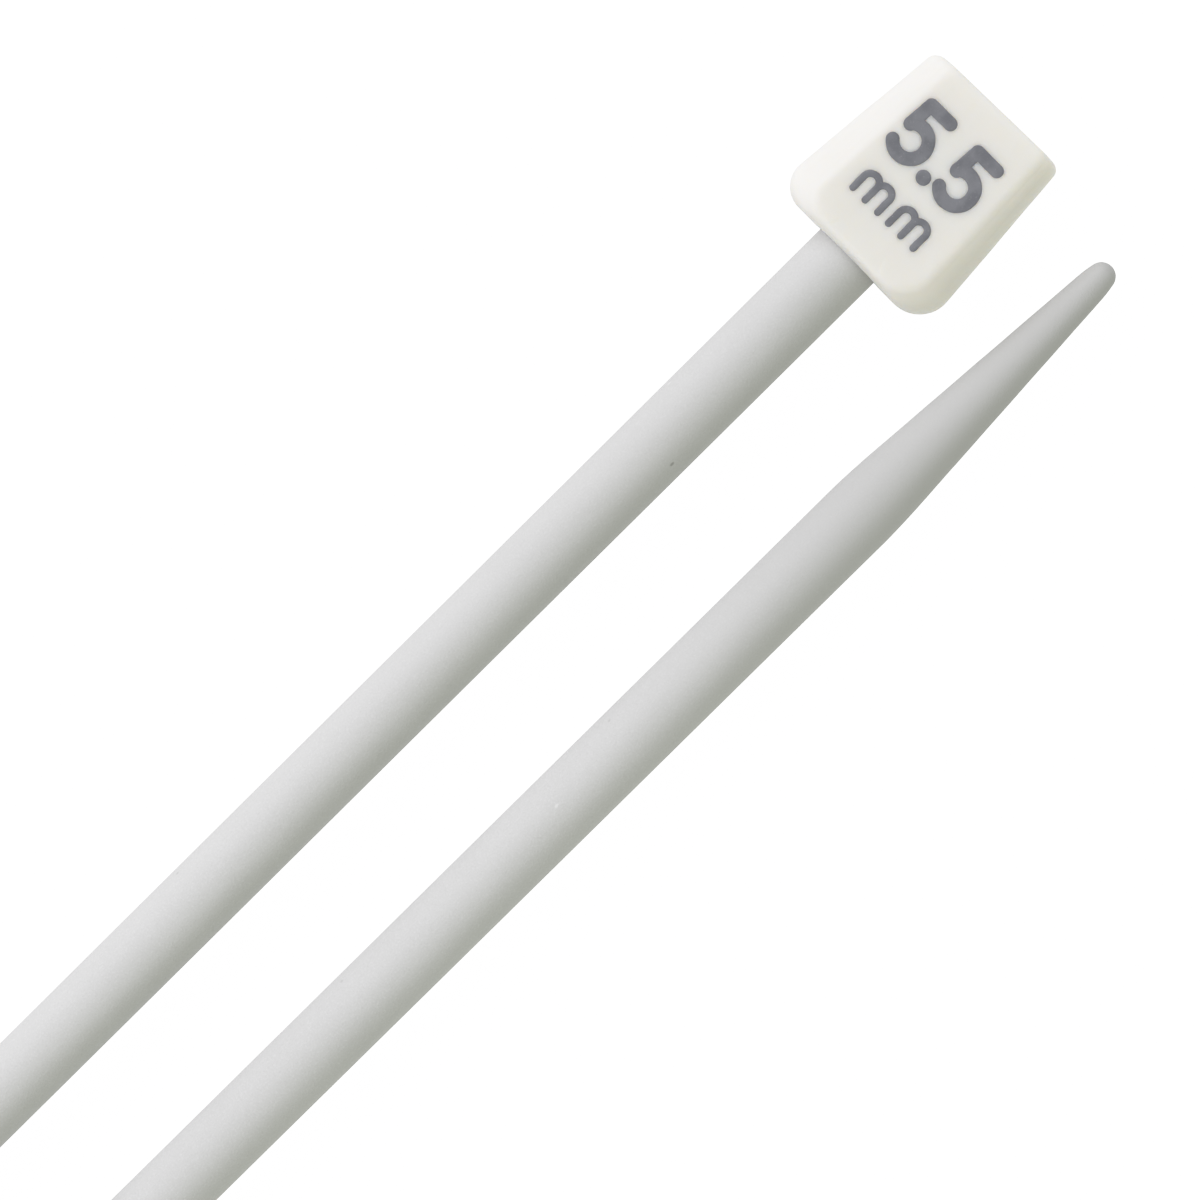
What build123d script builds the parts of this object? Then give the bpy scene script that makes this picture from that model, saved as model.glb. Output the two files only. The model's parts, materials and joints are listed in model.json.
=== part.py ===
from build123d import *
from math import acos, asin, atan, atan2, cos, degrees, hypot, radians, sin, tan
import os

# A pair of straight, single-pointed knitting needles, size 5.5 mm, lying loose
# side by side and head to tail on a flat surface. Each needle is a thin aluminium
# tube, swaged shut to a tapered point at one end, with a moulded head locked on
# the other end and a printed size mark on the head's front face. All in mm.
#
# World frame: +Z up, z = 0 is the surface the needles lie on, origin midway between
# them. +X runs along the needles towards needle A's head, and needle A lies on
# the +Y side. Needle B points the other way.
#
# Needle frame: origin at the point, x along the needle towards its head, z out of
# the head's front face.

# ------------------------------------------------------------ the pair
needle_length = 350.0         # from the point to the head's outer end
axis_spacing = 14.0           # between the two needles
head_overhang = 2.1           # each head reaches this far past its neighbour's point

# ------------------------------------------------------------ shaft sizes
shaft_r = 2.75                # size 5.5 mm
tube_wall = 0.8
neck_r = 2.55                 # the tube is necked down where it stands in the head
nose_r = 1.06                 # ball end of the point
nose_blend = 12.0             # slope in degrees where the ball ends
cone_slope = 0.0689           # rise of the point's cone
cone_ref_x, cone_ref_r = 3.18, 1.296    # a station on the cone
cone_end_x = 22.3             # the cone starts to round into the shaft here
bore_cone_x, bore_end_x = 27.0, 10.0    # the bore closes between these, from the point
bore_end_r = 0.35

stem_len = 5.0                # the head's stem inside the tube's open end
groove_w, groove_depth = 1.0, 0.25      # rings rolled into the neck to lock the head
groove_from_end = (5.5, 2.5)  # their centres, from the tube's open end
groove_overcut = 0.2          # the groove cutter stands this far out of the neck
socket_overcut = 1.0          # the socket cutter starts this far before the head

# ------------------------------------------------------------ head sizes
head_len = 15.2
socket_depth = 11.0           # how far the tube stands in the head
half_w_root, half_w_end = 7.46, 6.12    # widest outline, at mid thickness
corner_r = 2.70
wall_h, wall_inset = 2.3, 0.13          # drafted side wall above mid thickness
face_half_w_root, face_half_w_end = 5.38, 4.62   # front and back faces
face_inset, face_corner_r = 0.55, 2.60
half_t_root, half_t_end = 4.10, 3.60    # half thickness at each end
brow_r = 0.9                  # face to bevel
shoulder_r = 0.6              # bevel to side wall
end_r = 0.35                  # outer end's edges
shoulder_tol = 0.06           # shoulder edges are picked this close to wall_h
end_tol = 0.01                # edges this close to the outer end are left out

# ------------------------------------------------------------ size mark, "5.5 mm"
ink = 0.04                    # thickness of the print
digit_base, unit_base = 7.3, 3.6        # baselines, from the head's root
digit_stroke, unit_stroke = 1.0, 0.52

digit_gap = 2.35              # digit centre to the point's centre
bar_len, bar_x, bar_y = 1.9, 0.05, 4.62           # x, y from the digit's centre and baseline
stem_stroke_len, stem_x, stem_y = 2.0, -0.96, 3.62
stem_lean = 86                # degrees from the baseline
bowl_r, bowl_x = 1.28, -0.15
bowl_y = bowl_r + digit_stroke / 2      # the bowl stands on the baseline
bowl_start, bowl_sweep = -142, 276      # degrees
dot_r, dot_y = digit_stroke * 0.56, 0.6

letter_gap = 1.8              # letter centre to the middle of the unit
leg_gap = 1.25                # between the legs of each letter
leg_len = 1.16
leg_y = unit_base + (unit_stroke + leg_len) / 2   # the legs stand on the baseline
arch_y = leg_y + leg_len / 2            # the arches spring from the legs' tops

# ------------------------------------------------------------ derived sizes
bore_r = shaft_r - tube_wall
root_x = needle_length - head_len       # the head's root end
tube_end_x = root_x + socket_depth
groove_centres = [
    (tube_end_x - from_end, neck_r + (groove_overcut - groove_depth) / 2)
    for from_end in groove_from_end
]
face_slope = atan((half_t_root - half_t_end) / head_len)
face_len = hypot(head_len, half_t_root - half_t_end)


def arc_radius(start, end, turn):
    """Radius of the arc from start to end that turns through an angle in radians."""
    return hypot(end[0] - start[0], end[1] - start[1]) / 2 / sin(turn / 2)


# The point's profile: ball, ogive, cone, then a rounded taper into the shaft, each
# tangent to the next. The ends are (distance along, radius).
blend_angle, cone_angle = radians(nose_blend), atan(cone_slope)
nose_end = (nose_r * (1 - sin(blend_angle)), nose_r * cos(blend_angle))
chord_slope = tan((blend_angle + cone_angle) / 2)
ogive_end_x = (
    cone_ref_r - cone_slope * cone_ref_x - nose_end[1] + chord_slope * nose_end[0]
) / (chord_slope - cone_slope)
ogive_end = (ogive_end_x, cone_ref_r + cone_slope * (ogive_end_x - cone_ref_x))
ogive_r = arc_radius(nose_end, ogive_end, blend_angle - cone_angle)
cone_end = (cone_end_x, cone_ref_r + cone_slope * (cone_end_x - cone_ref_x))
taper_end = (cone_end_x + (shaft_r - cone_end[1]) / tan(cone_angle / 2), shaft_r)
taper_r = arc_radius(cone_end, taper_end, cone_angle)


def resting_pose():
    """Tilt in radians and the point's height, for a needle at rest.

    It touches the surface where its point rounds into the shaft and with the
    rounded root edge of its head, so its axis rises slightly towards the head.
    """
    # the back face's root edge, and the way from it along the bevel and the face
    edge_x = root_x + face_inset * cos(face_slope)
    edge_z = face_inset * sin(face_slope) - half_t_root
    bevel = (root_x + wall_inset - edge_x, -wall_h - edge_z)
    bevel_unit = [v / hypot(*bevel) for v in bevel]
    face_unit = (cos(face_slope), sin(face_slope))
    half_corner = acos(bevel_unit[0] * face_unit[0] + bevel_unit[1] * face_unit[1]) / 2
    bisector = (bevel_unit[0] + face_unit[0], bevel_unit[1] + face_unit[1])
    reach = brow_r / sin(half_corner) / hypot(*bisector)

    # centres of the two arcs that touch the surface
    heel_x, heel_z = edge_x + bisector[0] * reach, edge_z + bisector[1] * reach
    taper_x, taper_z = taper_end[0], taper_r - shaft_r
    span_x, span_z = heel_x - taper_x, heel_z - taper_z

    tilt = asin((brow_r - taper_r) / hypot(span_x, span_z)) - atan2(span_z, span_x)
    return tilt, taper_r - taper_x * sin(tilt) - taper_z * cos(tilt)


def needle_frame(heading):
    """Frame of a needle whose head lies towards +X (heading 1) or -X (heading -1)."""
    tilt, point_z = resting_pose()
    point_x = (needle_length * cos(tilt) - head_overhang) / 2
    return Plane(
        origin=(-heading * point_x, heading * axis_spacing / 2, point_z),
        x_dir=(heading * cos(tilt), 0, sin(tilt)),
        z_dir=(-heading * sin(tilt), 0, cos(tilt)),
    )


def section_plane(frame):
    """Plane through the axis: x along the needle, y out of the front face."""
    return Plane(origin=frame.origin, x_dir=frame.x_dir, z_dir=-frame.y_dir)


def front_face_plane(frame):
    """Plane of the head's front face: origin at the root end, x along the needle."""
    tilted = Location((root_x, 0, half_t_root), (0, degrees(face_slope), 0))
    return Plane(frame.location * tilted)


def build_shaft(frame):
    """The tube, with its closed point, necked open end and two rolled rings."""
    section = section_plane(frame)
    needle_axis = Axis(frame.origin, frame.x_dir)
    with BuildPart() as shaft:
        with BuildSketch(section):
            with BuildLine():
                RadiusArc((0, 0), nose_end, nose_r)
                RadiusArc(nose_end, ogive_end, ogive_r)
                Line(ogive_end, cone_end)
                RadiusArc(cone_end, taper_end, taper_r)
                Polyline(
                    taper_end,
                    (root_x, shaft_r),
                    (root_x, neck_r),
                    (tube_end_x, neck_r),
                    (tube_end_x, 0),
                    (0, 0),
                )
            make_face()
            with Locations(*groove_centres):
                Rectangle(groove_w, groove_depth + groove_overcut, mode=Mode.SUBTRACT)
        revolve(axis=needle_axis)

        # the bore, which the swaging closes towards the point
        with BuildSketch(section):
            with BuildLine():
                Polyline(
                    (tube_end_x, 0),
                    (tube_end_x, bore_r),
                    (bore_cone_x, bore_r),
                    (bore_end_x, bore_end_r),
                    (bore_end_x - bore_end_r, 0),
                    close=True,
                )
            make_face()
        revolve(axis=needle_axis, mode=Mode.SUBTRACT)
    return shaft.part


def build_head(frame):
    """The moulded head, which fills the tube's open end and its rings."""
    across = Axis(frame.origin, frame.z_dir)
    along = Axis(frame.origin, frame.x_dir)

    # outlines: plane, x at root and outer end, half width at each, root corner radius
    parting = (frame, root_x, needle_length, half_w_root, half_w_end, corner_r)
    shoulder = (
        frame.offset(wall_h), root_x + wall_inset, needle_length,
        half_w_root - wall_inset, half_w_end - wall_inset, corner_r,
    )
    face = (
        front_face_plane(frame), face_inset, face_len,
        face_half_w_root, face_half_w_end, face_corner_r,
    )

    with BuildPart() as head:
        # front half: the drafted side wall, then the broad bevel up to the face
        for layer in ((parting, shoulder), (shoulder, face)):
            for plane, near_x, far_x, near_half_w, far_half_w, radius in layer:
                with BuildSketch(plane) as outline:
                    with BuildLine():
                        Polyline(
                            (near_x, -near_half_w),
                            (far_x, -far_half_w),
                            (far_x, far_half_w),
                            (near_x, near_half_w),
                            close=True,
                        )
                    make_face()
                    fillet(outline.vertices().group_by(Axis.X)[0], radius)
            loft(ruled=True)
        mirror(about=frame)

        # brows: all edges of the front and back faces except those at the outer end
        faces_by_height = head.faces().sort_by(across)
        brow = faces_by_height[0].edges() + faces_by_height[-1].edges()
        fillet(brow.sort_by(along)[:-2], brow_r)

        # shoulders, without the outer end's edges
        shoulders = []
        for edge in head.edges():
            middle = frame.to_local_coords(edge.center())
            at_shoulder = abs(abs(middle.Z) - wall_h) < shoulder_tol
            if at_shoulder and middle.X < needle_length - end_tol:
                shoulders.append(edge)
        fillet(shoulders, shoulder_r)

        outer_end = head.faces().sort_by(along)[-1]
        fillet(outer_end.edges(), end_r)

        # the socket: the tube's room, less the stem in its bore and the ribs in its rings
        with BuildSketch(section_plane(frame)):
            with BuildLine():
                Polyline(
                    (root_x - socket_overcut, 0),
                    (root_x - socket_overcut, neck_r),
                    (tube_end_x, neck_r),
                    (tube_end_x, bore_r),
                    (tube_end_x - stem_len, bore_r),
                    (tube_end_x - stem_len, 0),
                    close=True,
                )
            make_face()
            with Locations(*groove_centres):
                Rectangle(groove_w, groove_depth + groove_overcut, mode=Mode.SUBTRACT)
        revolve(axis=along, mode=Mode.SUBTRACT)
    return head.part


def build_size_mark(frame):
    """The printed size: reads across the needle, tops towards the outer end."""
    face_plane = front_face_plane(frame)
    mark_plane = Plane(origin=face_plane.origin, x_dir=-frame.y_dir, z_dir=face_plane.z_dir)

    # centre lines of the curved strokes
    bowls = [
        CenterArc((digit_x + bowl_x, digit_base + bowl_y), bowl_r, bowl_start, bowl_sweep)
        for digit_x in (-digit_gap, digit_gap)
    ]
    arches = [
        CenterArc((letter_x + arch_x, arch_y), leg_gap / 2, 0, 180)
        for letter_x in (-letter_gap, letter_gap)
        for arch_x in (-leg_gap / 2, leg_gap / 2)
    ]

    with BuildPart() as size_mark:
        with BuildSketch(mark_plane):
            # digits: a bar, a stem and a bowl each, in round-ended strokes
            for digit_x in (-digit_gap, digit_gap):
                with Locations((digit_x + bar_x, digit_base + bar_y)):
                    SlotCenterToCenter(bar_len, digit_stroke)
                with Locations((digit_x + stem_x, digit_base + stem_y)):
                    SlotCenterToCenter(stem_stroke_len, digit_stroke, rotation=stem_lean)
            for bowl in bowls:
                SlotArc(bowl, digit_stroke)
            # decimal point
            with Locations((0, digit_base + dot_y)):
                Circle(dot_r)
            # unit: two letters of three legs and two arches each
            for letter_x in (-letter_gap, letter_gap):
                for leg_x in (-leg_gap, 0, leg_gap):
                    with Locations((letter_x + leg_x, leg_y)):
                        SlotCenterToCenter(leg_len, unit_stroke, rotation=90)
            for arch in arches:
                SlotArc(arch, unit_stroke)
        extrude(amount=ink)
    return size_mark.part


# ------------------------------------------------------------ build and export
os.makedirs("parts", exist_ok=True)

builders = {"shaft": build_shaft, "head": build_head, "size_mark": build_size_mark}

for needle_name, heading in (("needle_a", 1), ("needle_b", -1)):
    frame = needle_frame(heading)
    for piece_name, build in builders.items():
        piece = build(frame)
        piece.label = f"{needle_name}_{piece_name}"
        export_step(piece, f"parts/{piece.label}.step")
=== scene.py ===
"""Needles of 5.5 mm: coated tubes with tapered, ball-ended points and moulded, printed heads.

Each needle is built in millimetres in a frame of its own: x runs along it from the point (x = 0)
to the head, z comes out of the head's front face, and y runs across. A matrix then lays it
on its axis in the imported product.
"""

import bpy
import bmesh
import json
import math
import numpy as np
from mathutils import Matrix, Vector
from mathutils.bvhtree import BVHTree


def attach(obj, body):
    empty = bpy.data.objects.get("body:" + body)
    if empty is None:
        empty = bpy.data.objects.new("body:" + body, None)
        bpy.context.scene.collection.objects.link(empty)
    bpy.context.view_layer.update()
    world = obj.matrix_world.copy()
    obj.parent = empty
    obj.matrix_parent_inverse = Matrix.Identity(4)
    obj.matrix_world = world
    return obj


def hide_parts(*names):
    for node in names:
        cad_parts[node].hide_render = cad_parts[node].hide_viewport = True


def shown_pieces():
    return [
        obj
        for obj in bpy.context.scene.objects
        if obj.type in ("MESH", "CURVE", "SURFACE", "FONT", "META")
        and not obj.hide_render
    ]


MM = 0.001

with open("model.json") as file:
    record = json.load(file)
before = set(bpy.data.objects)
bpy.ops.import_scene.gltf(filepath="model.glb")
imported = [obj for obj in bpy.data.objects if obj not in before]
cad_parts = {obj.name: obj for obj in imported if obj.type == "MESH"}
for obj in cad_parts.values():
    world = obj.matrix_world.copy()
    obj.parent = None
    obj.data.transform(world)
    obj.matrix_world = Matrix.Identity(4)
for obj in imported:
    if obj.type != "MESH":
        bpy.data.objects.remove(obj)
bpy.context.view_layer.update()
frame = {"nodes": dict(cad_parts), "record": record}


# --------------------------------------------------------------------------
# Where each needle lies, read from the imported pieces
# --------------------------------------------------------------------------
def axes_matrix(x_dir, y_dir, z_dir, origin):
    """Placement whose columns are three directions and an origin."""
    rows = [tuple(column[i] for column in (x_dir, y_dir, z_dir, origin)) for i in range(3)]
    return Matrix((*rows, (0, 0, 0, 1)))


def reach(node, on_axis, x_dir):
    """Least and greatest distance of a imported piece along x_dir from on_axis, in metres."""
    points = np.array([v.co for v in frame["nodes"][node].data.vertices])
    along = (points - np.array(on_axis)) @ np.array(x_dir)
    return along.min(), along.max()


def place_needle(key, mount):
    """The needle's matrix, and where its head starts and its tube ends, in mm from the point."""
    x_dir = -Vector(mount["axis"]).normalized()
    z_dir = (Vector((0, 0, 1)) - x_dir * x_dir.z).normalized()
    on_axis = Vector(mount["pos_m"])
    tip, tube_end = reach(key + "_shaft", on_axis, x_dir)
    head_root = reach(key + "_head", on_axis, x_dir)[0]
    return {
        "matrix": axes_matrix(x_dir, z_dir.cross(x_dir), z_dir, on_axis + x_dir * tip),
        "root": round((head_root - tip) / MM, 3),
        "tube_end": round((tube_end - tip) / MM, 3),
    }


NEEDLES = {}
for mount in frame["record"]["mounts"]:
    key = mount["name"].rsplit("_", 1)[0]
    NEEDLES[key] = place_needle(key, mount)


# --------------------------------------------------------------------------
# Shape helpers
# --------------------------------------------------------------------------
def smooth(start, end, value):
    """Smoothstep from 0 at start to 1 at end."""
    t = np.clip((np.asarray(value, float) - start) / (end - start), 0, 1)
    return t * t * (3 - 2 * t)


class Waves:
    """A few seeded sine waves summed into a smooth, repeatable unevenness."""

    def __init__(self, seed, length, count=9):
        rng = np.random.default_rng(seed)
        direction = rng.normal(size=(count, 3))
        direction /= np.linalg.norm(direction, axis=1)[:, None]
        wavelength = length * rng.uniform(0.6, 1.7, (count, 1))
        self.wave_vector = direction * (2 * math.pi / wavelength)
        self.phase = rng.uniform(0, 2 * math.pi, count)
        self.scale = 1 / math.sqrt(count)

    def __call__(self, points):
        angles = np.asarray(points) @ self.wave_vector.T + self.phase
        return np.sin(angles).sum(-1) * self.scale


def neighbours(ring):
    """Each item of a closed ring with the next one."""
    return zip(ring, ring[1:] + ring[:1])


class Skin:
    """Vertices and faces of a skin that grows ring by ring."""

    def __init__(self, points):
        self.verts = list(points)
        self.faces = []

    def add_ring(self, points):
        start = len(self.verts)
        self.verts.extend(points)
        return list(range(start, len(self.verts)))

    def extend(self, ring, points):
        """Add a ring of points and join it to the given ring."""
        new = self.add_ring(points)
        for (a0, a1), (b0, b1) in zip(neighbours(ring), neighbours(new)):
            self.faces.append((a0, a1, b1, b0))
        return new

    def close(self, ring, point):
        """Fan the ring in to one point."""
        centre = len(self.verts)
        self.verts.append(point)
        self.faces += [(a, b, centre) for a, b in neighbours(ring)]


def add_mesh(name, verts, faces, matrix, sharp):
    """Object from points in mm, smooth-shaded below an edge angle of sharp degrees."""
    mesh = bpy.data.meshes.new(name)
    mesh.from_pydata([tuple(v) for v in (np.asarray(verts) * MM)], [], faces)
    mesh.validate()
    bm = bmesh.new()
    bm.from_mesh(mesh)
    bmesh.ops.recalc_face_normals(bm, faces=bm.faces)
    bm.to_mesh(mesh)
    bm.free()
    mesh.polygons.foreach_set("use_smooth", [True] * len(mesh.polygons))
    mesh.set_sharp_from_angle(angle=math.radians(sharp))
    obj = bpy.data.objects.new(name, mesh)
    bpy.context.scene.collection.objects.link(obj)
    obj.matrix_world = matrix
    return obj


# --------------------------------------------------------------------------
# Shaft: a swaged tube, turned from a profile
# --------------------------------------------------------------------------
SHAFT_R = 2.75
SHAFT_SEGMENTS = 112
NOSE_R = 1.06                          # ball end
NOSE_BLEND = math.radians(12)          # the ball stops this far short of its widest
CONE_SLOPE = 0.0689
CONE_X, CONE_R = 3.18, 1.296           # a station on the cone, and its radius there
CONE_END = 22.3
STRAIGHT_END = 3                       # coarser rings start this far before the head
NECK_START, NECK_R = 0.28, 2.545       # neck inside the head, from the head's root
GROOVE_R, GROOVE_HALF = 2.295, 0.5     # two grooves rolled into the neck
GROOVES_FROM_END = (5.5, 2.5)
END_GAP = 0.02                         # tube end to the bottom of the head's socket
BORE_R, BORE_START = 1.955, 27
BORE_TIP = [(10, 0.35), (9.65, 0.0)]   # the bore narrows to a point here


def arc(centre, radius, start, stop, count):
    """Points (x, radius) along an arc, without the first."""
    return [(centre[0] + radius * math.cos(a), centre[1] + radius * math.sin(a))
            for a in np.linspace(start, stop, count)[1:]]


def grooved(end, neck_r, groove_r):
    """Profile points of the neck's grooves, for a neck that ends at end."""
    points = []
    for from_end in GROOVES_FROM_END:
        near, far = end - from_end - GROOVE_HALF, end - from_end + GROOVE_HALF
        points += [(near, neck_r), (near, groove_r), (far, groove_r), (far, neck_r)]
    return points


def shaft_profile(root, tube_end):
    """(x, radius) from just past the point, over the outside to the open end and down the bore.

    Also returns how many of the points lie outside, before the neck.
    """
    cone = math.atan(CONE_SLOPE)
    quarter = math.pi / 2

    def cone_r(x):
        return CONE_R + CONE_SLOPE * (x - CONE_X)

    # ogive: an arc tangent to both the ball and the cone
    nose_x = NOSE_R * (1 - math.sin(NOSE_BLEND))
    nose_edge_r = NOSE_R * math.cos(NOSE_BLEND)
    chord = math.tan((NOSE_BLEND + cone) / 2)
    ogive_x = ((CONE_R - CONE_SLOPE * CONE_X - nose_edge_r + chord * nose_x)
               / (chord - CONE_SLOPE))
    ogive_end_r = cone_r(ogive_x)
    ogive_r = (math.hypot(ogive_x - nose_x, ogive_end_r - nose_edge_r) / 2
               / math.sin((NOSE_BLEND - cone) / 2))
    ogive_centre = (ogive_x + ogive_r * math.sin(cone), ogive_end_r - ogive_r * math.cos(cone))
    # arc from the cone into the straight shaft
    rise = SHAFT_R - cone_r(CONE_END)
    shaft_x = CONE_END + rise / math.tan(cone / 2)
    blend_r = math.hypot(shaft_x - CONE_END, rise) / 2 / math.sin(cone / 2)

    straight_end, neck_start = root - STRAIGHT_END, root + NECK_START
    profile = arc((NOSE_R, 0), NOSE_R, math.pi, quarter + NOSE_BLEND, 22)
    profile += arc(ogive_centre, ogive_r, quarter + NOSE_BLEND, quarter + cone, 12)
    profile += [(x, cone_r(x)) for x in np.linspace(ogive_x, CONE_END, 40)[1:]]
    profile += arc((shaft_x, SHAFT_R - blend_r), blend_r, quarter + cone, quarter, 18)
    profile += [(x, SHAFT_R) for x in np.linspace(shaft_x, straight_end, 120)[1:]]
    profile += [(x, SHAFT_R) for x in np.linspace(straight_end, neck_start, 8)[1:]]
    outside = len(profile)
    open_end = tube_end - END_GAP
    profile += [(neck_start, NECK_R)] + grooved(tube_end, NECK_R, GROOVE_R)
    profile += [(open_end, NECK_R), (open_end, BORE_R)]
    profile += [(x, BORE_R) for x in np.linspace(open_end, BORE_START, 20)[1:]]
    return profile + BORE_TIP, outside


def make_shaft_uneven(verts, outside, root, seed):
    """Faint flats and ripples from swaging on the point, and a long, slight wave in the shaft."""
    flat_count, flat_twist = 6, 0.05
    ripple, wave = 1.35, 0.11               # radians per mm along x
    swage_depth, wave_depth = 0.010, 0.004
    phase = np.random.default_rng(seed).uniform(0, 6.28, 4)
    x, y, z = verts.T
    theta = np.arctan2(z, y)
    flats = np.cos(flat_count * theta + phase[0] + flat_twist * x)
    ripples = np.sin(x * ripple + phase[1])
    on_point = smooth(1.0, 5.0, x) * (1 - smooth(22, 30, x))
    on_shaft = smooth(26, 40, x) * (1 - smooth(root - 6, root - 1, x))
    swell = on_point * swage_depth * (flats * 0.6 + ripples * 0.4)
    swell += wave_depth * np.sin(x * wave + phase[2]) * on_shaft
    swell = np.where(outside & (np.hypot(y, z) > 0.05), swell, 0)
    verts[:, 1] += swell * np.cos(theta)
    verts[:, 2] += swell * np.sin(theta)


def build_shaft(name, needle, seed):
    """The tube as one closed skin, from the point round to the bottom of the bore."""
    profile, outside_rings = shaft_profile(needle["root"], needle["tube_end"])
    angles = np.arange(SHAFT_SEGMENTS) * 2 * math.pi / SHAFT_SEGMENTS

    def circle(x, radius):
        return [(x, radius * math.cos(a), radius * math.sin(a)) for a in angles]

    skin = Skin([(0.0, 0.0, 0.0)])
    ring = skin.add_ring(circle(*profile[0]))
    skin.faces += [(0, b, a) for a, b in neighbours(ring)]
    for x, radius in profile[1:-1]:
        ring = skin.extend(ring, circle(x, radius))
    skin.close(ring, (profile[-1][0], 0.0, 0.0))
    verts = np.array(skin.verts)
    outside = np.arange(len(verts)) < 1 + SHAFT_SEGMENTS * outside_rings
    make_shaft_uneven(verts, outside, needle["root"], seed)
    return add_mesh(name + "_coated_shaft", verts, skin.faces, needle["matrix"], sharp=40)


# --------------------------------------------------------------------------
# Head: a drafted, bevelled wedge with softened edges, moulded round the tube.
# Its x starts at its root, where the tube enters.
# --------------------------------------------------------------------------
HEAD_L = 15.00
TAPER_RUN = 15.2                         # length over which the tapers below are given
HALF_W, W_TAPER = 7.46, (7.46 - 6.12) / TAPER_RUN
HALF_T, T_TAPER = 4.10, 0.5 / TAPER_RUN
FACE_HALF_W, FACE_TAPER = 5.38, (5.38 - 4.62) / TAPER_RUN
WALL, DRAFT = 2.3, 0.13                  # height and lean of the side wall, to its shoulder
SHOULDER_R, BROW_R = 1.7, 1.15           # softened edges of the long sides
SIDE_BULGE = 0.07                        # of the bevel between them
ROOT_SHOULDER, ROOT_SHOULDER_R = (0.10, 3.25), 0.5
ROOT_IN, ROOT_BROW_R = 0.44, 0.45
END_SHOULDER_R, END_BROW_R = 1e-4, 0.38
ROOT_STATION = 2.7                       # x whose side section the root's corners take
# plan radii at root and outer end, on the +y and -y sides
CORNERS_PLUS = (2.10, 0.80)
CORNERS_MINUS = (2.60, 0.66)
RIDGE = (0.035, 0.028)                   # parting line, on the lowest two levels
OUTLINE_SHIFT = -0.20                    # y of the outline's middle, off the tube's axis
OUTLINE_SLANT = 0.027                    # of the outer end

# levels up a half section, from the parting line to the face
LOW_STEPS = (0.0, 0.05, 0.085, 0.14)     # first levels, by distance up the wall
WALL_LEVELS, SHOULDER_LEVELS, BEVEL_LEVELS, BROW_LEVELS = 12, 9, 10, 14
LEVELS = WALL_LEVELS + SHOULDER_LEVELS + BEVEL_LEVELS + BROW_LEVELS
# points along half an outline
ROOT_POINTS, CORNER_POINTS, SIDE_POINTS, END_CORNER_POINTS, END_POINTS = 26, 26, 54, 9, 34

# socket in the head
WINDOW_HALF_H = 3.22                     # height cleared in the root wall for the opening
RIM_R = 3.10
MOUTH_DEPTH, MOUTH_IN = 0.30, 0.26       # rounded mouth
FIT = 0.01                               # clearance between socket and tube
STEM_L = 5                               # stem inside the tube


def turn_angle(u, v):
    return math.acos(max(-1, min(1, float(u @ v))))


def fillet(corner, u, v, tangent, count):
    """Arc round a corner from direction u into v, given its tangent length."""
    start, end = corner - u * tangent, corner + v * tangent
    angle = turn_angle(u, v)
    steps = np.linspace(0, 1, count + 1)[1:]
    if angle < 1e-3:
        return [start + (end - start) * t for t in steps]
    radius = tangent / math.tan(angle / 2)
    normal = v - u * float(u @ v)
    normal /= np.linalg.norm(normal)
    centre = start + normal * radius
    return [centre - normal * radius * math.cos(t * angle) + u * radius * math.sin(t * angle)
            for t in steps]


def soft_section(shoulder, brow, shoulder_r, brow_r, bulge=0.0):
    """Levels of a half section, from the parting line over the shoulder and the brow onto
    the face, as (inset, height). The same number of levels whatever the shape."""
    foot, shoulder, brow = np.zeros(2), np.array(shoulder, float), np.array(brow, float)
    wall = (shoulder - foot) / np.linalg.norm(shoulder - foot)
    bevel = (brow - shoulder) / np.linalg.norm(brow - shoulder)
    face = np.array([1.0, 0.0])
    shoulder_tangent = shoulder_r * math.tan(turn_angle(wall, bevel) / 2)
    brow_tangent = brow_r * math.tan(turn_angle(bevel, face) / 2)

    levels = [foot + wall * step for step in LOW_STEPS]
    start, end = foot + wall * LOW_STEPS[-1], shoulder - wall * shoulder_tangent
    steps = np.linspace(0, 1, WALL_LEVELS - len(LOW_STEPS) + 1)[1:]
    levels += [start + (end - start) * t for t in steps]
    levels += fillet(shoulder, wall, bevel, shoulder_tangent, SHOULDER_LEVELS)
    start, end = shoulder + bevel * shoulder_tangent, brow - bevel * brow_tangent
    outward = np.array([-bevel[1], bevel[0]])
    for t in np.linspace(0, 1, BEVEL_LEVELS + 1)[1:]:
        levels.append(start + (end - start) * t + outward * bulge * 4 * t * (1 - t))
    levels += fillet(brow, bevel, face, brow_tangent, BROW_LEVELS)
    return np.array(levels)


def side_section(x):
    x = round(float(x), 4)
    brow_in = HALF_W - W_TAPER * x - (FACE_HALF_W - FACE_TAPER * x)
    brow = (brow_in, HALF_T - T_TAPER * x)
    return soft_section((DRAFT, WALL), brow, SHOULDER_R, BROW_R, SIDE_BULGE)


def matched_section(side, *shape):
    """A root or end section whose levels stand at the same heights as a side section's."""
    own = soft_section(*shape)
    last = WALL_LEVELS + SHOULDER_LEVELS + BEVEL_LEVELS - 1
    lower = own[: last + 1]
    heights = side[: last + 1, 1] * own[last][1] / side[last, 1]
    insets = np.interp(heights, lower[:, 1], lower[:, 0])
    return np.vstack([np.column_stack([insets, heights]), own[last + 1:]])


CORNER_SECTION = side_section(ROOT_STATION)
ROOT_SECTION = matched_section(
    CORNER_SECTION, ROOT_SHOULDER, (ROOT_IN, HALF_T), ROOT_SHOULDER_R, ROOT_BROW_R)
END_SECTION = matched_section(
    side_section(HEAD_L), (0.0, WALL), (0.0, HALF_T - T_TAPER * HEAD_L),
    END_SHOULDER_R, END_BROW_R)


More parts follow.
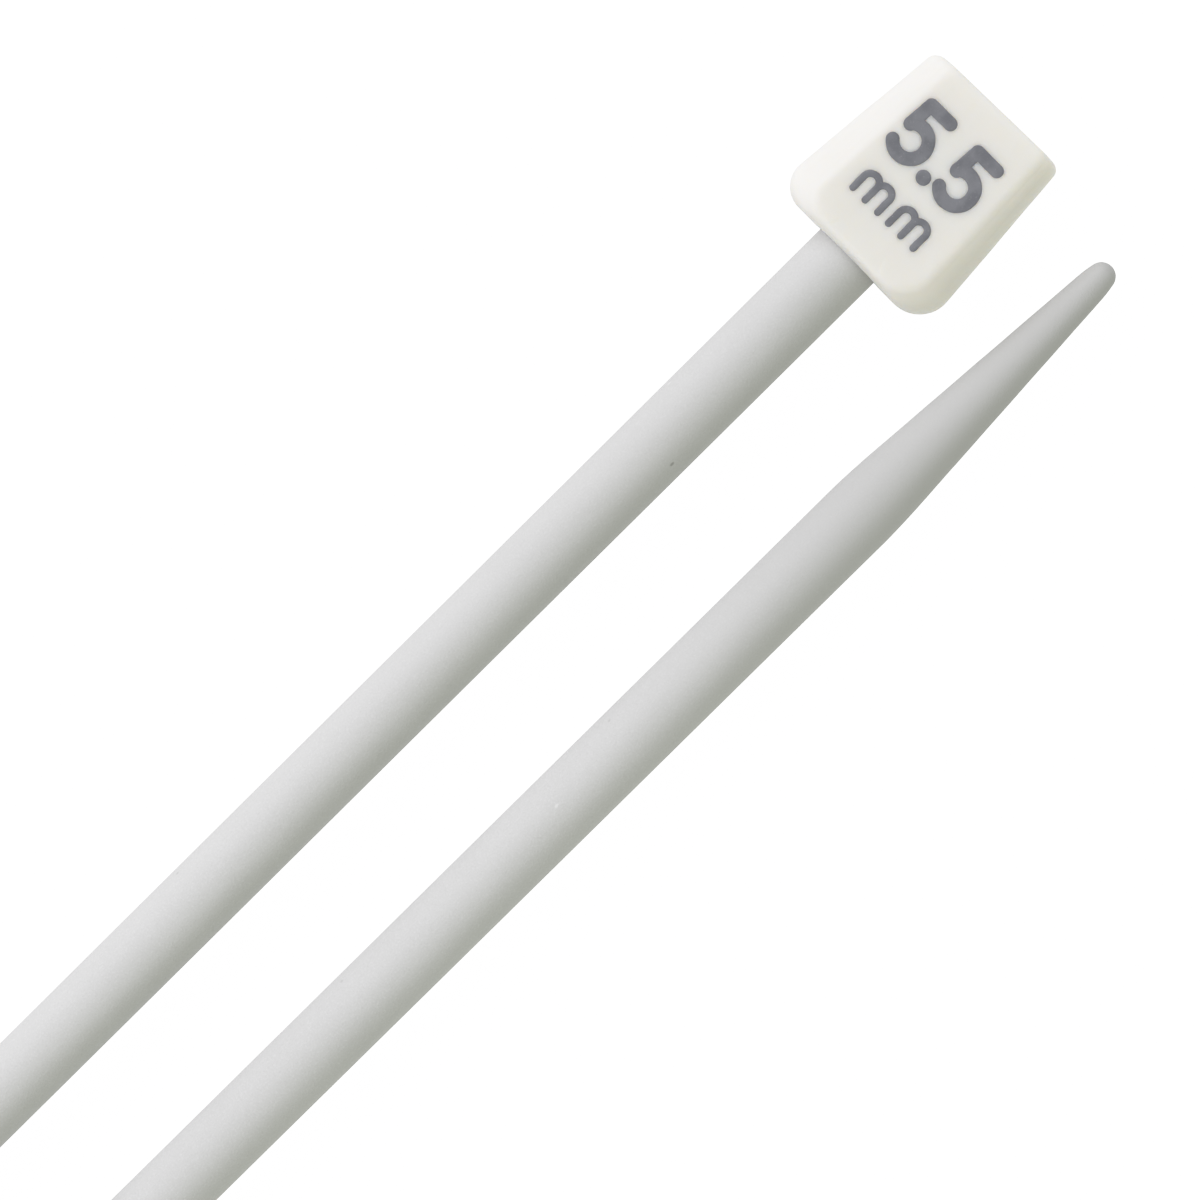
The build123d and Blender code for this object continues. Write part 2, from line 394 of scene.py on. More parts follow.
def half_outline(level, corner_r, end_r):
    """One level's outline from the middle of the root to the middle of the outer end."""
    root_in, root_z = ROOT_SECTION[level]
    end_in, end_z = END_SECTION[level]
    side_in, side_z = CORNER_SECTION[level]
    ridge = RIDGE[level] if level < len(RIDGE) else 0.0
    taper_angle = math.atan(W_TAPER)
    secant = math.hypot(1, W_TAPER)

    # root wall
    corner_r = max(corner_r - 0.1 * min(1.0, side_z / HALF_T), 0.5)
    corner_x = root_in + corner_r
    corner_y = HALF_W - side_in - W_TAPER * corner_x - corner_r * secant
    wall_z = root_z - T_TAPER * root_in * smooth(WALL, HALF_T, root_z)
    points = [(root_in, t * corner_y, wall_z) for t in np.linspace(0, 1, ROOT_POINTS + 1)[:-1]]
    # root corner
    for k in range(CORNER_POINTS):
        t = k / CORNER_POINTS
        angle = t * (math.pi / 2 + taper_angle)
        weight = float(smooth(0, 1, t))
        radius = corner_r + ridge * weight
        points.append((
            corner_x - radius * math.cos(angle),
            corner_y + radius * math.sin(angle),
            root_z * (1 - weight) + side_z * weight,
        ))
    # long side, starting exactly where the corner's section leaves off
    start_x = corner_x + corner_r * math.sin(taper_angle)
    end_corner_x = HEAD_L - end_in - end_r
    stop_x = end_corner_x + end_r * math.sin(taper_angle)
    start_in, start_z = side_section(start_x)[level]
    stop_in, stop_z = side_section(stop_x)[level]
    for t in np.linspace(0, 1, SIDE_POINTS):
        x = start_x + (stop_x - start_x) * t
        own_in, own_z = side_section(x)[level]
        blend = 1 - smooth(0, 0.25, t)
        inset = own_in + (side_in - start_in) * blend
        points.append((x, HALF_W - W_TAPER * x - inset + ridge,
                       own_z + (side_z - start_z) * blend))
    # outer corner
    end_corner_y = HALF_W - W_TAPER * end_corner_x - stop_in - end_r * secant
    for k in range(1, END_CORNER_POINTS + 1):
        t = k / END_CORNER_POINTS
        angle = taper_angle + t * (math.pi / 2 - taper_angle)
        weight = float(smooth(0, 1, t))
        points.append((
            end_corner_x + (end_r + ridge) * math.sin(angle),
            end_corner_y + (end_r + ridge) * math.cos(angle),
            stop_z * (1 - weight) + end_z * weight,
        ))
    # outer end
    for t in np.linspace(0, 1, END_POINTS + 1)[1:]:
        points.append((HEAD_L - end_in + ridge, end_corner_y * (1 - t), end_z))
    return points


def head_grid():
    """Closed outlines, one a row, from the bottom brow over the parting line to the top brow."""
    plus, minus = (
        np.array([half_outline(level, *corners) for level in range(LEVELS)])
        for corners in (CORNERS_PLUS, CORNERS_MINUS)
    )
    back = minus[:, 1:-1][:, ::-1] * np.array([1, -1, 1])
    upper = np.concatenate([plus, back], axis=1)
    lower = upper[1:][::-1] * np.array([1, 1, -1])
    return np.concatenate([lower, upper], axis=0)


def add_wall(skin, index):
    """The grid's faces, but for a window in the root wall; returns the window's edge."""
    rows, count = index.shape
    middle = LEVELS - 1                   # row of the parting line
    half_rows = int(np.searchsorted(ROOT_SECTION[:, 1], WINDOW_HALF_H))
    half_cols = ROOT_POINTS - 2
    low, high = middle - half_rows, middle + half_rows
    window = {(j, i % count) for j in range(low, high) for i in range(-half_cols, half_cols)}
    for j in range(rows - 1):
        for i in range(count):
            if (j, i) not in window:
                after = (i + 1) % count
                skin.faces.append(
                    (index[j, i], index[j, after], index[j + 1, after], index[j + 1, i]))
    edge = [(low, i) for i in range(-half_cols, half_cols)]
    edge += [(j, half_cols) for j in range(low, high)]
    edge += [(high, i) for i in range(half_cols, -half_cols, -1)]
    edge += [(j, -half_cols) for j in range(high, low, -1)]
    return [index[j, i % count] for j, i in edge]


def add_socket(skin, border, depth):
    """From the window in to a round mouth, the grooved socket, its floor and the inner stem."""
    edge = np.array([skin.verts[b] for b in border])
    angles = np.arctan2(edge[:, 2], edge[:, 1])
    circle = np.column_stack([np.cos(angles), np.sin(angles)])

    def wall_x(z):
        return np.interp(np.abs(z), ROOT_SECTION[:, 1], ROOT_SECTION[:, 0])

    ring = border
    for t in np.linspace(0, 1, 8)[1:]:
        yz = edge[:, 1:] * (1 - t) + RIM_R * circle * t
        ring = skin.extend(ring, np.column_stack([wall_x(yz[:, 1]), yz]))
    mouth_steps = np.linspace(0, math.pi / 2, 8)[1:]
    for k, angle in enumerate(mouth_steps):
        yz = (RIM_R - MOUTH_IN * math.sin(angle)) * circle
        follow_wall = 1 - (k + 1) / len(mouth_steps)
        x = MOUTH_DEPTH * (1 - math.cos(angle)) + wall_x(yz[:, 1]) * follow_wall
        ring = skin.extend(ring, np.column_stack([x, yz]))
    # (x, radius): collar round the shaft, neck and grooves, floor, stem
    neck_r, stem_r = NECK_R + FIT, BORE_R - FIT
    socket = [(0.85, RIM_R - MOUTH_IN), (0.86, 2.757), (0.90, 2.757), (0.92, neck_r)]
    socket += grooved(depth, neck_r, GROOVE_R + FIT)
    socket += [(depth, neck_r), (depth, stem_r), (depth - STEM_L, stem_r)]
    for x, radius in socket:
        ring = skin.extend(ring, np.column_stack([np.full(len(angles), x), radius * circle]))
    skin.close(ring, np.array([depth - STEM_L, 0, 0]))


def add_face(skin, edge, sign):
    """A face as rings that close in on its middle; sign is 1 for the front, -1 for the back."""
    outline = np.array([skin.verts[e] for e in edge])
    middle = np.array([HEAD_L * 0.52, 0.0])

    def plane(x):
        return sign * (HALF_T - T_TAPER * x)

    ring = edge
    for scale in 1 - np.linspace(0, 1, 20)[1:-1] ** 1.15:
        xy = middle + (outline[:, :2] - middle) * scale
        # the first rings settle into the plane without a step
        settle = max(0.0, (scale - 0.8) / 0.2)
        z = plane(xy[:, 0]) + (outline[:, 2] - plane(outline[:, 0])) * settle
        ring = skin.extend(ring, np.column_stack([xy, z]))
    skin.close(ring, np.array([middle[0], 0, plane(middle[0])]))


def finish_head(verts, seed):
    """Sink, unevenness, the outline's shift and slant, and a gate mark, all in place."""
    x, y, z = verts.T                     # views, which follow each change to verts
    # a trace of sink in both faces
    sink = 0.035
    inward = (np.clip(1 - ((x - HEAD_L * 0.5) / (HEAD_L * 0.46)) ** 2, 0, 1)
              * np.clip(1 - (y / 4.6) ** 2, 0, 1))
    on_face = smooth(0.75, 0.98, np.abs(z) / (HALF_T - T_TAPER * x))
    verts[:, 2] -= np.sign(z) * sink * inward * on_face
    # the slight unevenness of a thick moulding, outside the socket
    outer = (np.hypot(y, z) > 3.1) | (x > 12)
    broad, close = Waves(seed, length=7.0), Waves(seed + 5, length=2.6)
    swell = np.where(outer, 0.011 * broad(verts) + 0.004 * close(verts), 0)
    weights = np.array([0.6, 1, 1.6])
    away = verts - np.array([HEAD_L / 2, 0, 0])
    away /= np.maximum(np.linalg.norm(away * weights, axis=1)[:, None], 1e-6)
    verts += away * weights * swell[:, None]
    # shift and slant of the outline, which leave the socket true to the tube
    shell = np.maximum(smooth(3.15, 4.3, np.hypot(y, z)), smooth(11.3, 12.5, x))
    verts[:, 0] -= OUTLINE_SLANT * y * smooth(6.0, HEAD_L, x) * shell
    verts[:, 1] += OUTLINE_SHIFT * shell
    # gate mark in the middle of the outer end: a small raised disc with a dimple
    disc_h, dimple = 0.05, 0.035
    rho = np.hypot(y - OUTLINE_SHIFT, z)
    gate = disc_h * (1 - smooth(0.55, 0.75, rho)) - dimple * (1 - smooth(0.10, 0.30, rho))
    verts[:, 0] += np.where((x > HEAD_L - 0.5) & (rho < 0.8), gate, 0)


def build_head(name, needle, seed):
    grid = head_grid()
    rows, count = grid.shape[:2]
    skin = Skin(grid.reshape(-1, 3))
    index = np.arange(rows * count).reshape(rows, count)
    border = add_wall(skin, index)
    add_socket(skin, border, needle["tube_end"] - needle["root"])
    add_face(skin, list(index[-1]), sign=1)
    add_face(skin, list(index[0]), sign=-1)
    verts = np.array(skin.verts, float)
    finish_head(verts, seed)
    verts[:, 0] += needle["root"]
    return add_mesh(name + "_moulded_head", verts, skin.faces, needle["matrix"], sharp=42)


# --------------------------------------------------------------------------
# Size mark: "5.5" over "mm", a thin printed film on the head's front face.
# Drawn as (across, up): across is -y, up is x from the head's root.
# --------------------------------------------------------------------------
DIGIT_BASE, DIGIT_OFFSET, DIGIT_STROKE = 7.3, 2.35, 0.5     # strokes by their half width
LETTER_BASE, LETTER_OFFSET, LETTER_STROKE = 3.6, 1.8, 0.26
BAR_HALF, BAR_UP = 0.95, 4.62                               # top bar of a 5
STEM_LEAN, STEM_UP = math.radians(86), 3.62
BOWL_R, BOWL_UP, BOWL_START, BOWL_SWEEP = 1.28, 1.78, -142, 276
DOT_R = 0.56
LEG_PITCH, LEG_FOOT, LEG_TOP = 1.25, 0.26, 1.42             # legs of an m
MARK_SHIFT_X, MARK_SHIFT_Y = -0.14, 0.14
MARK_CELL = 0.055
FILM, FILM_EDGE, FILM_SUNK = 0.030, 0.35, 0.02    # thickness, share left at the edge, bedding


def line_stroke(p, a, b, half_width):
    """Signed distance to a round-ended straight stroke."""
    a, b = np.array(a, float), np.array(b, float)
    ab = b - a
    t = np.clip(((p - a) @ ab) / (ab @ ab), 0, 1)
    return np.linalg.norm(p - (a + t[..., None] * ab), axis=-1) - half_width


def arc_stroke(p, centre, radius, start, sweep, half_width):
    """Signed distance to a round-ended arc, angles in degrees, counter-clockwise."""
    centre = np.array(centre, float)
    offset = p - centre
    angle = np.degrees(np.arctan2(offset[..., 1], offset[..., 0]))
    on_arc = (angle - start) % 360 <= sweep
    from_arc = np.abs(np.linalg.norm(offset, axis=-1) - radius)
    from_ends = []
    for end in (math.radians(start), math.radians(start + sweep)):
        tip = centre + radius * np.array([math.cos(end), math.sin(end)])
        from_ends.append(np.linalg.norm(p - tip, axis=-1))
    return np.where(on_arc, from_arc, np.minimum(*from_ends)) - half_width


def mark_distance(p, seed):
    """Signed distance from points (across, up) to the mark's outline."""
    strokes = []
    sin_lean, cos_lean = math.sin(STEM_LEAN), math.cos(STEM_LEAN)
    for side in (-1, 1):
        middle = side * DIGIT_OFFSET
        bar_x, bar_up = middle + 0.05, DIGIT_BASE + BAR_UP
        stem_x, stem_up = middle - 0.96, DIGIT_BASE + STEM_UP
        strokes += [
            line_stroke(p, (bar_x - BAR_HALF, bar_up), (bar_x + BAR_HALF, bar_up),
                        DIGIT_STROKE),
            line_stroke(p, (stem_x - cos_lean, stem_up - sin_lean),
                        (stem_x + cos_lean, stem_up + sin_lean), DIGIT_STROKE),
            arc_stroke(p, (middle - 0.15, DIGIT_BASE + BOWL_UP), BOWL_R,
                       BOWL_START, BOWL_SWEEP, DIGIT_STROKE),
        ]
    strokes.append(np.linalg.norm(p - np.array([0, DIGIT_BASE + 0.6]), axis=-1) - DOT_R)
    foot, top = LETTER_BASE + LEG_FOOT, LETTER_BASE + LEG_TOP
    for middle in (-LETTER_OFFSET, LETTER_OFFSET):
        for leg in (-LEG_PITCH, 0, LEG_PITCH):
            x = middle + leg
            strokes.append(line_stroke(p, (x, foot), (x, top), LETTER_STROKE))
        for arch in (-LEG_PITCH / 2, LEG_PITCH / 2):
            strokes.append(arc_stroke(p, (middle + arch, top), LEG_PITCH / 2, 0, 180,
                                      LETTER_STROKE))
    # the print's edge wanders very slightly
    wander = Waves(seed, length=0.9, count=12)
    flat = np.concatenate([p, np.zeros(p.shape[:-1] + (1,))], -1)
    return np.minimum.reduce(strokes) + 0.010 * wander(flat)


def fit_mark_grid(seed):
    """Grid over the mark, fitted to its outline: corner places, kept cells, used and border."""
    across = np.arange(-4.6, 4.6 + MARK_CELL, MARK_CELL)
    up = np.arange(3.2, 13.0 + MARK_CELL, MARK_CELL)
    places = np.stack(np.meshgrid(across, up, indexing="ij"), -1)
    d = mark_distance(places, seed)
    keep = (d[:-1, :-1] + d[1:, :-1] + d[:-1, 1:] + d[1:, 1:]) / 4 < 0
    # how many kept cells touch each grid corner
    touch = np.zeros(d.shape, int)
    for a in (0, 1):
        for b in (0, 1):
            touch[a: a + keep.shape[0], b: b + keep.shape[1]] += keep
    used = touch > 0
    border = used & (touch < 4)
    inner = used & ~border
    # pull the border onto the outline along the distance's slope
    e = 1e-3
    for _ in range(5):
        slope = np.stack([
            (mark_distance(places + step, seed) - mark_distance(places - step, seed)) / (2 * e)
            for step in (np.array([e, 0]), np.array([0, e]))
        ], -1)
        slope /= np.maximum(np.linalg.norm(slope, axis=-1)[..., None], 1e-6)
        pull = -np.clip(mark_distance(places, seed), -0.05, 0.05)[..., None] * slope
        places = np.where(border[..., None], places + pull, places)
    # relax the inside, so that the cells beside the outline aren't pinched
    for _ in range(3):
        mean = places.copy()
        mean[1:-1, 1:-1] = (places[2:, 1:-1] + places[:-2, 1:-1]
                            + places[1:-1, 2:] + places[1:-1, :-2]) / 4
        places = np.where(inner[..., None], 0.5 * places + 0.5 * mean, places)
    return places, keep, used, border


def build_mark(name, needle, head, seed):
    places, keep, used, border = fit_mark_grid(seed)
    distance = mark_distance(places, seed)
    number = -np.ones(used.shape, int)
    number[used] = np.arange(used.sum())
    surface = BVHTree.FromPolygons(
        [tuple(v.co / MM) for v in head.data.vertices],
        [tuple(p.vertices) for p in head.data.polygons],
    )
    top, bottom = [], []
    for (across, up), d, at_edge in zip(places[used], distance[used], border[used]):
        x, y = needle["root"] + up + MARK_SHIFT_X, -across + MARK_SHIFT_Y
        hit = surface.ray_cast(Vector((x, y, 9.0)), Vector((0, 0, -1)))[0]
        inward = 0.0 if at_edge else float(smooth(0, 0.10, -d))
        top.append((x, y, hit.z + FILM * (FILM_EDGE + (1 - FILM_EDGE) * inward)))
        bottom.append((x, y, hit.z - FILM_SUNK))
    under = len(top)
    faces = []
    for i, j in zip(*np.nonzero(keep)):
        a, b, c, d = number[i, j], number[i + 1, j], number[i + 1, j + 1], number[i, j + 1]
        faces.append((a, d, c, b))
        faces.append((a + under, b + under, c + under, d + under))
        # a wall wherever the next cell is empty
        for di, dj, s, t in ((-1, 0, a, d), (1, 0, c, b), (0, -1, b, a), (0, 1, d, c)):
            if not keep[i + di, j + dj]:
                faces.append((s, t, t + under, s + under))
    return add_mesh(name + "_printed_size", top + bottom, faces, needle["matrix"], sharp=50)


# --------------------------------------------------------------------------
# Materials. Object coordinates are the needle's own frame, in metres.
# --------------------------------------------------------------------------
class Shader:
    """Writes a node tree in few lines. Pattern scales are per millimetre."""

    def __init__(self, tree):
        self.tree = tree
        self.coord = None

    def add(self, kind, **props):
        node = self.tree.nodes.new(kind)
        for prop, value in props.items():
            setattr(node, prop, value)
        return node

    def put(self, socket, value):
        """Link or set a socket; colours are given as RGB."""
        if isinstance(value, bpy.types.NodeSocket):
            self.tree.links.new(value, socket)
        elif socket.type == "RGBA":
            socket.default_value = (*value, 1.0)
        else:
            socket.default_value = value

    def node(self, kind, inputs, output=0, **props):
        """Add a node, feed its inputs by name or number, and return one output."""
        node = self.add(kind, **props)
        for socket, value in inputs.items():
            self.put(node.inputs[socket], value)
        return node.outputs[output]

    def scaled(self, x, y, z):
        if self.coord is None:
            self.coord = self.add("ShaderNodeTexCoord").outputs["Object"]
        scale = (1000 * x, 1000 * y, 1000 * z)
        return self.node("ShaderNodeMapping", {"Vector": self.coord, "Scale": scale})

    def xyz(self):
        """Coordinates in millimetres."""
        return self.add_separate(self.scaled(1, 1, 1))

    def add_separate(self, vector):
        node = self.add("ShaderNodeSeparateXYZ")
        self.put(node.inputs[0], vector)
        return node.outputs[0], node.outputs[1], node.outputs[2]

    def noise(self, x, y, z, detail, rough=0.5, distortion=0.0):
        return self.node("ShaderNodeTexNoise", {
            "Vector": self.scaled(x, y, z), "Scale": 1.0, "Detail": detail,
            "Roughness": rough, "Distortion": distortion}, "Fac")

    def cells(self, x, y, z):
        """Distance to the nearest of scattered points."""
        return self.node("ShaderNodeTexVoronoi",
                         {"Vector": self.scaled(x, y, z), "Scale": 1.0}, "Distance")

    def math(self, operation, *values):
        return self.node("ShaderNodeMath", dict(enumerate(values)), operation=operation)

    def ramp(self, value, start, end, low=0.0, high=1.0, mode="SMOOTHSTEP"):
        return self.node("ShaderNodeMapRange", {
            "Value": value, "From Min": start, "From Max": end,
            "To Min": low, "To Max": high}, "Result", interpolation_type=mode)

    def vary(self, value, pattern, amount):
        """Add a pattern centred on 0.5, times an amount."""
        swing = self.math("MULTIPLY", self.math("SUBTRACT", pattern, 0.5), amount)
        return self.math("ADD", value, swing)

    def mix(self, factor, a, b):
        return self.node("ShaderNodeMix", {"Factor": factor, 6: a, 7: b}, 2, data_type="RGBA")

    def tint(self, colour, mask, amount, towards):
        return self.mix(self.math("MULTIPLY", mask, amount), colour, towards)

    def bump(self, height, distance, strength, under=None):
        inputs = {"Strength": strength, "Distance": distance, "Height": height}
        if under is not None:
            inputs["Normal"] = under
        return self.node("ShaderNodeBump", inputs)

    def brighter_to_camera(self, base, extra):
        """A strength of base, plus extra when seen directly."""
        path = self.add("ShaderNodeLightPath")
        return self.math("MULTIPLY_ADD", path.outputs["Is Camera Ray"], extra, base)


def new_material(name):
    material = bpy.data.materials.new(name)
    material.use_nodes = True
    material.node_tree.nodes.clear()
    return material, Shader(material.node_tree)


def set_surface(shader, inputs):
    output = shader.add("ShaderNodeOutputMaterial")
    shader.put(output.inputs[0], shader.node("ShaderNodeBsdfPrincipled", inputs))


COAT = (0.572, 0.572, 0.572)
COAT_CLOUD = (0.558, 0.558, 0.557)
COAT_LIGHT = (0.640, 0.640, 0.643)
COAT_DARK = (0.500, 0.500, 0.498)
IVORY = (0.795, 0.775, 0.733)
INK = (0.140, 0.143, 0.164)


def coat_material(name, nick, tone):
    """Matt pearl-grey coat: a fine even grain, with faint clouding and drawing lines, and painted
    shade along its length.
    """
    material, s = new_material(name)
    x, y, z = s.xyz()
    grain = s.noise(6.5, 6.5, 6.5, detail=3.0, rough=0.6)
    fine = s.noise(15, 15, 15, detail=2.0, rough=0.6)
    cloud = s.noise(0.16, 0.5, 0.5, detail=3.0, distortion=0.2)
    drawn = s.noise(0.05, 5.0, 5.0, detail=2.0)
    colour = s.mix(s.ramp(cloud, start=0.30, end=0.70), COAT_CLOUD, COAT)
    for mask, amount, towards in (
        (s.ramp(grain, start=0.50, end=0.70), 0.55, COAT_LIGHT),
        (s.ramp(grain, start=0.47, end=0.28), 0.52, COAT_DARK),
        (s.ramp(fine, start=0.60, end=0.74), 0.35, (0.68, 0.68, 0.685)),
        (s.ramp(drawn, start=0.55, end=0.75), 0.06, COAT_DARK),
    ):
        colour = s.tint(colour, mask, amount, towards)
    # sparse specks with ragged edges, some darker and some lighter
    ragged = s.math("MULTIPLY", s.math("SUBTRACT", fine, 0.5), 0.03)
    dark = s.math("ADD", s.cells(0.19, 0.24, 0.24), ragged)
    colour = s.tint(colour, s.ramp(dark, start=0.034, end=0.018), amount=0.35,
                    towards=(0.33, 0.33, 0.32))
    light = s.math("ADD", s.cells(0.13, 0.21, 0.21), ragged)
    colour = s.tint(colour, s.ramp(light, start=0.034, end=0.016), amount=0.55,
                    towards=(0.74, 0.74, 0.74))
    # the very point is tinted a touch darker and made smoother
    darker_point = s.math("MULTIPLY", s.ramp(x, start=5.0, end=0.2),
                  s.ramp(cloud, start=0.20, end=0.60, low=0.5, high=1.0))
    colour = s.tint(colour, darker_point, amount=0.35, towards=(0.43, 0.43, 0.42))
    rough = s.ramp(cloud, start=0.3, end=0.7, low=0.57, high=0.64, mode="LINEAR")
    rough = s.vary(rough, grain, amount=0.25)
    rough = s.math("ADD", rough, s.math("MULTIPLY", darker_point, -0.16))
    # painted shade along the length: the coat is tinted darker towards one end, standing in for
    # light that falls off along the needle
    colour = s.tint(colour, s.ramp(x, tone["start"], tone["end"]), tone["amount"],
                    towards=(0.460, 0.460, 0.456))
    # one small nick on the front: a ragged ellipse
    dx = s.math("DIVIDE", s.math("SUBTRACT", x, nick["x"]), nick["half_x"])
    dy = s.math("DIVIDE", s.math("SUBTRACT", y, nick["y"]), nick["half_y"])
    squares = s.math("ADD", s.math("MULTIPLY", dx, dx), s.math("MULTIPLY", dy, dy))
    distance = s.vary(s.math("SQRT", squares), fine, amount=1.2)
    mask = s.math("MULTIPLY", s.ramp(distance, start=1.2, end=0.5),
                  s.ramp(z, start=0.0, end=0.3))
    colour = s.tint(colour, mask, nick["amount"], nick["colour"])
    bump = s.bump(grain, distance=0.000024, strength=1.0)
    bump = s.bump(s.noise(0.35, 1.1, 1.1, detail=2.0), 0.000012, strength=0.3, under=bump)
    bump = s.bump(drawn, distance=0.000003, strength=0.3, under=bump)
    set_surface(s, {"Base Color": colour, "Roughness": rough, "Specular IOR Level": 0.28,
                    "Normal": bump})
    return material


def ivory_material(name):
    """Moulded ivory plastic: slightly waxy, with faint flow marks and a fine orange peel."""
    material, s = new_material(name)
    cloud = s.noise(0.22, 0.3, 0.3, detail=3.0, distortion=0.4)
    flow = s.noise(0.25, 1.1, 0.6, detail=4.0, rough=0.55, distortion=1.2)
    fine = s.noise(9, 9, 9, detail=2.0)
    colour = s.mix(s.ramp(cloud, start=0.35, end=0.65), IVORY, (0.808, 0.784, 0.744))
    colour = s.tint(colour, s.ramp(flow, start=0.52, end=0.75), amount=0.25,
                    towards=(0.780, 0.758, 0.708))
    colour = s.tint(colour, s.ramp(fine, start=0.5, end=0.75), amount=0.10,
                    towards=(0.87, 0.86, 0.83))
    # a few tiny inclusions
    colour = s.tint(colour, s.ramp(s.cells(0.24, 0.24, 0.24), start=0.026, end=0.014),
                    amount=0.25, towards=(0.47, 0.44, 0.38))
    rough = s.ramp(flow, start=0.3, end=0.7, low=0.42, high=0.50, mode="LINEAR")
    peel = s.bump(s.noise(1.3, 1.3, 1.3, detail=2.0), distance=0.00002, strength=0.5)
    set_surface(s, {
        "Base Color": colour,
        "Roughness": s.vary(rough, fine, amount=0.10),
        "Specular IOR Level": 0.38,
        "Subsurface Weight": 1.0,
        "Subsurface Radius": (1.0, 0.90, 0.72),
        "Subsurface Scale": 0.0017,
        "IOR": 1.49,
        "Normal": s.bump(fine, distance=0.000003, strength=0.5, under=peel),
    })
    return material


def ink_material(name):
    """Slate ink, faintly clouded and speckled."""
    material, s = new_material(name)
    speck = s.noise(7, 7, 7, detail=3.0, rough=0.6)
    cloud = s.noise(0.7, 0.7, 0.7, detail=3.0)
    colour = s.mix(s.ramp(cloud, start=0.35, end=0.65), INK, (0.188, 0.191, 0.214))
    colour = s.tint(colour, s.ramp(speck, start=0.58, end=0.74), amount=0.5,
                    towards=(0.30, 0.30, 0.31))
    set_surface(s, {
        "Base Color": colour,
        "Roughness": s.ramp(speck, start=0.3, end=0.7, low=0.42, high=0.58, mode="LINEAR"),
        "Normal": s.bump(speck, distance=0.000004, strength=0.6),
    })
    return material


# --------------------------------------------------------------------------
# Build the needles
# --------------------------------------------------------------------------
def needle_seeds_marks_and_shade(key, root):
    """Seeds for shaft, head and mark, then the nick and the painted shade along the coat."""
    if key.endswith("a"):
        nick = dict(x=root - 19.4, y=-1.77, half_x=0.22, half_y=0.10, amount=0.62,
                    colour=(0.22, 0.215, 0.205))
        # painted shade: needle A's coat darkens towards its head
        return (11, 3, 43), nick, dict(start=root - 70.0, end=root - 8.0, amount=0.27)
    nick = dict(x=56.0, y=-0.5, half_x=0.20, half_y=0.11, amount=0.42,
                colour=(0.80, 0.80, 0.80))
    # painted shade: needle B's coat darkens towards its point
    return (23, 17, 57), nick, dict(start=60.0, end=10.0, amount=0.85)


for key, needle in NEEDLES.items():
    (shaft_seed, head_seed, mark_seed), nick, tone = needle_seeds_marks_and_shade(key, needle["root"])
    shaft = build_shaft(key, needle, shaft_seed)
    head = build_head(key, needle, head_seed)
    mark = build_mark(key, needle, head, mark_seed)
    shaft.data.materials.append(coat_material(key + "_pearl_coat", nick, tone))
    head.data.materials.append(ivory_material(key + "_ivory_plastic"))
    mark.data.materials.append(ink_material(key + "_slate_ink"))
    for piece, node, slot in (
        (shaft, "_shaft", "shaft_coat"),
        (head, "_head", "head_plastic"),
        (mark, "_size_mark", "mark_ink"),
    ):
        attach(piece, key)
        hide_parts(key + node)


# --------------------------------------------------------------------------
# Stage, in metres: pale floor, soft light, camera
# --------------------------------------------------------------------------
FLOOR_HALF = 6.0
FLOOR_GAP = 0.00001


def paper_material():
    """Pale paper, whiter to the camera than it lights the needles, so that shadows stay faint."""
    material, s = new_material("studio_paper")
    set_surface(s, {
        "Base Color": (0.30, 0.30, 0.30),
        "Roughness": 0.9,
        "Specular IOR Level": 0.2,
        "Emission Color": (1, 1, 1),
        "Emission Strength": s.brighter_to_camera(base=0.56, extra=0.86),
    })
    return material


def build_floor():
    mesh = bpy.data.meshes.new("studio_floor")
    corners = [(sx * FLOOR_HALF, sy * FLOOR_HALF, 0)
               for sx, sy in ((-1, -1), (1, -1), (1, 1), (-1, 1))]
    mesh.from_pydata(corners, [], [(0, 1, 2, 3)])
    floor = bpy.data.objects.new("studio_floor", mesh)
    depsgraph = bpy.context.evaluated_depsgraph_get()
    evaluated = [piece.evaluated_get(depsgraph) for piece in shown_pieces()]
    lowest = min((e.matrix_world @ v.co).z for e in evaluated for v in e.data.vertices)
    floor.location.z = lowest - FLOOR_GAP
    bpy.context.scene.collection.objects.link(floor)
    floor.data.materials.append(paper_material())


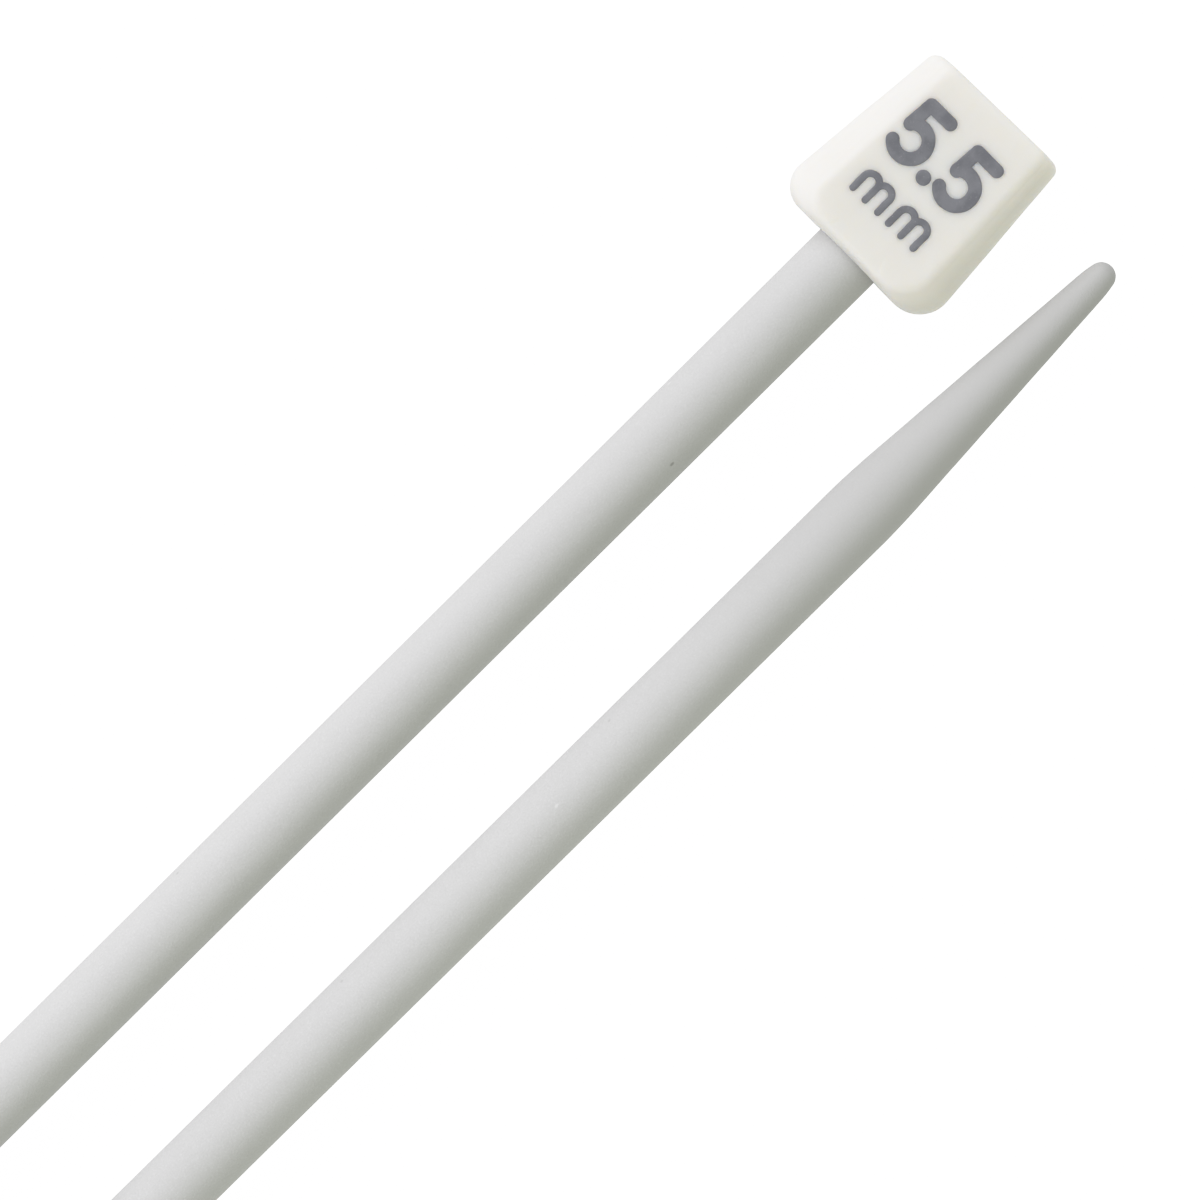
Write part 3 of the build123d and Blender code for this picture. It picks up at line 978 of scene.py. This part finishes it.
def area_light(name, location, target, size, power, colour):
    data = bpy.data.lights.new(name, "AREA")
    data.shape = "RECTANGLE"
    data.size, data.size_y = size
    data.energy = power
    data.color = colour
    light = bpy.data.objects.new(name, data)
    bpy.context.scene.collection.objects.link(light)
    light.location = location
    aim = Vector(target) - Vector(location)
    light.rotation_euler = aim.to_track_quat("-Z", "Y").to_euler()
    light.visible_camera = False


def build_world():
    """Soft surroundings that look white where seen directly, past the floor's far edge."""
    world = bpy.data.worlds.new("studio_world")
    bpy.context.scene.world = world
    world.use_nodes = True
    s = Shader(world.node_tree)
    background = world.node_tree.nodes["Background"]
    s.put(background.inputs[0], (1.0, 1.02, 0.975))
    s.put(background.inputs[1], s.brighter_to_camera(base=0.50, extra=1.25))


def build_camera():
    """Long lens above the needles, looking nearly straight down."""
    data = bpy.data.cameras.new("photo_camera")
    data.sensor_width = 36.0
    data.lens = 135.703
    data.clip_start, data.clip_end = 0.01, 30.0
    camera = bpy.data.objects.new("photo_camera", data)
    bpy.context.scene.collection.objects.link(camera)
    eye = Vector((156.861, 8.025, 331.893)) * MM
    forward = Vector((-0.07967, -0.01868, -0.99665)).normalized()
    right = forward.cross(Vector((0.70088, 0.70990, -0.06933))).normalized()
    up = right.cross(forward).normalized()
    camera.matrix_world = axes_matrix(right, up, -forward, eye)
    bpy.context.scene.camera = camera


def set_view():
    """Standard view with a gentle shoulder, so that pale plastic keeps its shading near white."""
    view = bpy.context.scene.view_settings
    view.view_transform = "Standard"
    view.look = "None"
    view.use_curve_mapping = True
    mapping = view.curve_mapping
    mapping.white_level = (2.0, 2.0, 2.0)
    mapping.clip_max_x = 1.0
    # (input, output) on the combined curve
    for level_in, level_out in (
        (0.1, 0.2), (0.2, 0.4), (0.3, 0.6), (0.34, 0.675), (0.40, 0.775),
        (0.45, 0.835), (0.50, 0.885), (0.60, 0.952), (0.70, 0.988), (0.80, 1.0),
    ):
        mapping.curves[3].points.new(level_in, level_out)
    mapping.update()


build_floor()
area_light("key_softbox", location=(0.08, 1.09, 1.02), target=(0.05, 0, 0),
           size=(2.1, 1.2), power=24.3, colour=(1.0, 0.982, 1.02))
area_light("side_bounce", location=(0.1, -1.3, 0.45), target=(0.05, 0, 0),
           size=(1.6, 0.8), power=2.5, colour=(0.90, 1.0, 0.52))
build_world()
build_camera()
set_view()
